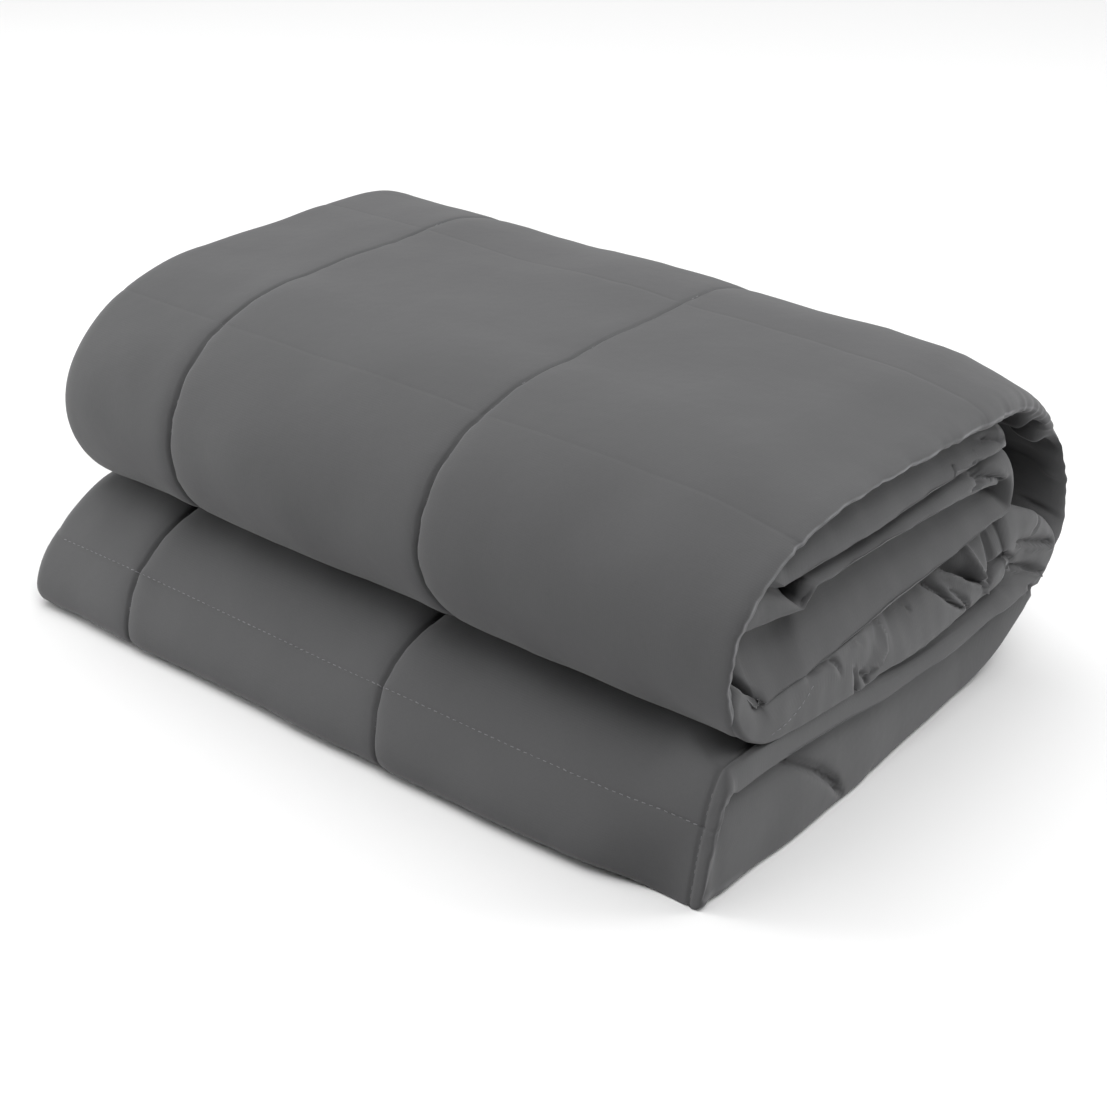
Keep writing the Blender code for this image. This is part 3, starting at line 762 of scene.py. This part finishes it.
def linear(code):
    """Linear colour of an sRGB hex code."""
    parts = [int(code[i:i + 2], 16) / 255 for i in (1, 3, 5)]
    return [c / 12.92 if c <= 0.04045 else ((c + 0.055) / 1.055) ** 2.4 for c in parts] + [1.0]


def add(tree, kind, settings=(), **links):
    """Adds a node, with its settings, and values or links for its inputs: by name, with a _ for
    each blank, or by number after a _."""
    node = tree.nodes.new(kind)
    for name, value in settings:
        setattr(node, name, value)
    for key, value in links.items():
        socket = node.inputs[int(key[1:])] if key[0] == "_" else node.inputs[key.replace("_", " ")]
        if isinstance(value, bpy.types.NodeSocket):
            tree.links.new(value, socket)
        else:
            socket.default_value = value
    return node


def plain_material(name, colour, roughness):
    """A material with a Principled shader, its node tree, and that shader."""
    material = bpy.data.materials.new(name)
    material.use_nodes = True
    shader = material.node_tree.nodes["Principled BSDF"]
    shader.inputs["Base Color"].default_value = linear(colour)
    shader.inputs["Roughness"].default_value = roughness
    return material, material.node_tree, shader


THREAD_PITCH = 0.0011     # real threads lie about 0.2 mm apart; drawn coarse, the weave just shows
ONE_BAND = 0.3142         # the wave texture's scale for one band on every unit


def brushed_microfibre():
    """Tightly woven, lightly brushed polyester microfibre, piece-dyed dark grey: the eye sees an
    even matt grey, a faint soft sheen at grazing angles, and no single thread."""
    material, tree, shader = plain_material("brushed_microfibre_dark_grey", "#515152", 0.82)
    shader.inputs["Sheen Weight"].default_value = 0.12
    shader.inputs["Sheen Roughness"].default_value = 0.5
    shader.inputs["Specular IOR Level"].default_value = 0.25
    cloth = add(tree, "ShaderNodeUVMap", (("uv_map", "cloth"),)).outputs["UV"]
    threads = add(tree, "ShaderNodeMapping", (), Vector=cloth,
                  Scale=(1 / THREAD_PITCH, 1 / THREAD_PITCH, 1.0)).outputs[0]
    warp, weft = (add(tree, "ShaderNodeTexWave", (("bands_direction", way),), Vector=threads,
                      Scale=ONE_BAND, Distortion=0.6, Detail=1.0, Detail_Scale=2.0).outputs["Fac"]
                  for way in "XY")
    weave = add(tree, "ShaderNodeMath", (("operation", "MULTIPLY"),), _0=warp, _1=weft)
    place = add(tree, "ShaderNodeTexCoord").outputs["Object"]
    nap = add(tree, "ShaderNodeTexNoise", (), Vector=place, Scale=900.0, Detail=2.0)
    soft = add(tree, "ShaderNodeTexNoise", (), Vector=place, Scale=38.0, Detail=3.0,
               Roughness=0.55)
    mottle = add(tree, "ShaderNodeTexNoise", (), Vector=place, Scale=14.0, Detail=2.0)
    # The tone is the mean of the mottle and the nap.
    tone = add(tree, "ShaderNodeMath", (("operation", "MULTIPLY"),), _0=mottle.outputs["Fac"],
               _1=0.5)
    tone = add(tree, "ShaderNodeMath", (("operation", "MULTIPLY_ADD"),), _0=nap.outputs["Fac"],
               _1=0.5, _2=tone.outputs[0])
    shade = add(tree, "ShaderNodeMix", (("data_type", "RGBA"),), _0=tone.outputs[0],
                _6=linear("#4d4d4e"), _7=linear("#545455"))
    # Painted highlight: along a hem's fold the colour is lightened to stand for the light that the
    # fold catches.
    hem_highlight = add(tree, "ShaderNodeAttribute", (("attribute_name", "painted_hem_highlight"),)).outputs["Fac"]
    shade = add(tree, "ShaderNodeMix", (("data_type", "RGBA"),), _0=hem_highlight, _6=shade.outputs[2],
                _7=linear("#707072"))
    tree.links.new(shade.outputs[2], shader.inputs["Base Color"])
    slow = add(tree, "ShaderNodeBump", (), Height=soft.outputs["Fac"], Strength=0.5,
               Distance=0.0012)
    fine = add(tree, "ShaderNodeBump", (), Height=weave.outputs[0], Strength=0.22,
               Distance=0.0001, Normal=slow.outputs[0])
    tree.links.new(fine.outputs[0], shader.inputs["Normal"])
    return material


def spun_thread():
    """Spun polyester sewing thread, a shade lighter than the cloth: the eye sees light dots."""
    material, tree, shader = plain_material("spun_polyester_thread", "#737375", 0.6)
    place = add(tree, "ShaderNodeTexCoord").outputs["Object"]
    ply = add(tree, "ShaderNodeTexNoise", (), Vector=place, Scale=2400.0, Detail=1.0)
    twist = add(tree, "ShaderNodeBump", (), Height=ply.outputs["Fac"], Strength=0.4,
                Distance=0.0001)
    tree.links.new(twist.outputs[0], shader.inputs["Normal"])
    return material


def matt_paper():
    """Seamless white backdrop paper."""
    material, _, shader = plain_material("seamless_white_paper", "#e4e4e4", 0.95)
    shader.inputs["Specular IOR Level"].default_value = 0.1
    return material


# ---------------------------------------------------------------- camera, lights and floor


# The photograph's view: place in metres, turn round Z and tilt in degrees, lens and sensor in
# millimetres.
CAMERA_AT = (0.5335, -0.6041, 0.4384)
CAMERA_TURN = 41.0
CAMERA_TILT = 26.7
LENS = 64.72
SENSOR = 36.0


def camera():
    """The photograph's view: the camera looks back along (sin a cos p, -cos a cos p, sin p), for
    its turn a and tilt p."""
    azimuth, pitch = math.radians(CAMERA_TURN), math.radians(CAMERA_TILT)
    back = Vector((math.sin(azimuth) * math.cos(pitch), -math.cos(azimuth) * math.cos(pitch),
                   math.sin(pitch)))
    data = bpy.data.cameras.new("camera")
    data.lens = LENS
    data.sensor_width = SENSOR
    data.clip_start = 0.01
    item = bpy.data.objects.new("camera", data)
    item.location = CAMERA_AT
    item.rotation_euler = back.to_track_quat("Z", "Y").to_euler()
    bpy.context.scene.collection.objects.link(item)
    bpy.context.scene.camera = item


LIGHTS_AIM = (0, 0, 0.06)  # the middle of the stack, in metres
# Name, place and side in metres, and power in watts.
LIGHTS = (
    ("broad overhead", (-0.30, 0.60, 3.20),  5.00, 197.0),
    ("left",           (-1.50, -0.40, 0.70), 0.90, 4.4),
    ("near left",      (-0.65, -0.55, 0.55), 0.50, 0.4),
    ("low left",       (-1.20, -0.70, 0.35), 0.50, 9.8),
    ("right back",     (1.00, 0.90, 0.40),   0.50, 9.6),
    ("right top",      (0.90, -0.50, 1.40),  0.70, 6.4),
)
SURROUNDINGS = 0.02       # strength of the white world
FLOOR_SIDE = 8.0          # in metres


def soft_box(name, place, size, power):
    """A square area light that faces the blanket."""
    data = bpy.data.lights.new(name, "AREA")
    data.shape = "SQUARE"
    data.size = size
    data.energy = power
    item = bpy.data.objects.new(name, data)
    item.location = place
    item.rotation_euler = (Vector(place) - Vector(LIGHTS_AIM)).to_track_quat("Z", "Y").to_euler()
    bpy.context.scene.collection.objects.link(item)


def studio():
    """Dim white surroundings, the soft boxes, and a white paper floor."""
    scene = bpy.context.scene
    scene.view_settings.view_transform = "Standard"
    world = bpy.data.worlds.new("surroundings")
    world.use_nodes = True
    background = world.node_tree.nodes["Background"]
    background.inputs["Color"].default_value = (1.0, 1.0, 1.0, 1.0)
    background.inputs["Strength"].default_value = SURROUNDINGS
    scene.world = world
    for light in LIGHTS:
        soft_box(*light)
    bpy.ops.mesh.primitive_plane_add(size=FLOOR_SIDE, location=(0, 0, 0))
    floor = bpy.context.object
    floor.name = "floor"
    floor.data.materials.append(matt_paper())


# ---------------------------------------------------------------- the blanket


def cloth_map(x, folds, length):
    """Cloth coordinates in metres round the ring: across the cloth 0 and one cell on the two
    channels, and on along the inner skin, and along it the length of cloth."""
    left, right = (column(CHANNELS, side, "fold", folds)[:, None] for side in ("left", "right"))
    across = (x - left) / (right - left) * CELL
    across = np.concatenate((across, 2 * across[:, -1:] - across[:, -2:0:-1]), axis=1)
    along = np.repeat(length[:, None], across.shape[1], axis=1)
    return np.stack((across, along), axis=-1) * MM


def hem_highlight_share(points, columns, folds, length):
    """Strength of the painted highlight, from 0 to 1: in patches along the tips of the two hems."""
    middle, half = LOWER_HIGHLIGHT_FOLDS
    hems = stretch(folds, *COVER_HIGHLIGHT) + LOWER_HIGHLIGHT * (np.abs(folds - middle) < half)
    hems *= np.clip(HIGHLIGHT_MEAN + rumple(EDGE_HIGHLIGHT, length), 0, 1)
    return hems[:, None] * (1 - smooth(from_tip(points, columns), *HIGHLIGHT_REACH))


HEM_STITCHED = (5.02, 5.8)            # the folds that the lower bundle's hem stitches run over


def stitch_runs(points, columns, channels, folds):
    """Every row of stitches: along the channels, across on the seams, along the lower bundle's
    hem, and over the open end."""
    normals = outwards(points)
    shown = (folds > STITCHED[0]) & (folds < STITCHED[1])
    runs = [resample(points[shown, c], normals[shown, c], LINE_MARGIN) for c in channels]
    first, last = len(LEFT_ANGLES), columns - len(RIGHT_ANGLES)
    for seam in SEAMS:
        row = np.abs(folds - seam.fold).argmin()
        run, normal = points[row, first:last], normals[row, first:last]
        runs.append(resample(run - seam.sunk * normal, normal, LINE_MARGIN))
    hem = (folds > HEM_STITCHED[0]) & (folds < HEM_STITCHED[1])
    runs.append(resample(points[hem, last], normals[hem, last], HEM_MARGIN))
    runs.append(resample(*over_end(points, normals, folds), HEM_MARGIN))
    return runs


def blanket():
    """The padded ribbon and all its stitches."""
    folds = fold_positions()
    length = cloth_length(folds)
    x, channels = along_x(folds)
    columns = x.shape[1]
    points = tube(folds, x)
    points = points + outwards(points) * relief(points, folds, columns, length)[..., None]
    points = points + np.array((DATUM_X, -DATUM_Y, 0.0))
    points[..., 2] = np.maximum(points[..., 2], 0.0)
    uv = cloth_map(x, folds, length)
    # painted highlight along the tips of the two hems
    hem_highlight = hem_highlight_share(points, columns, folds, length)
    mesh = tube_mesh("quilted_blanket", points, columns, uv, hem_highlight)
    piece = dress(mesh, brushed_microfibre())
    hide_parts("blanket")
    stitches("stitches", stitch_runs(points, columns, channels, folds), spun_thread())


camera()
studio()
blanket()
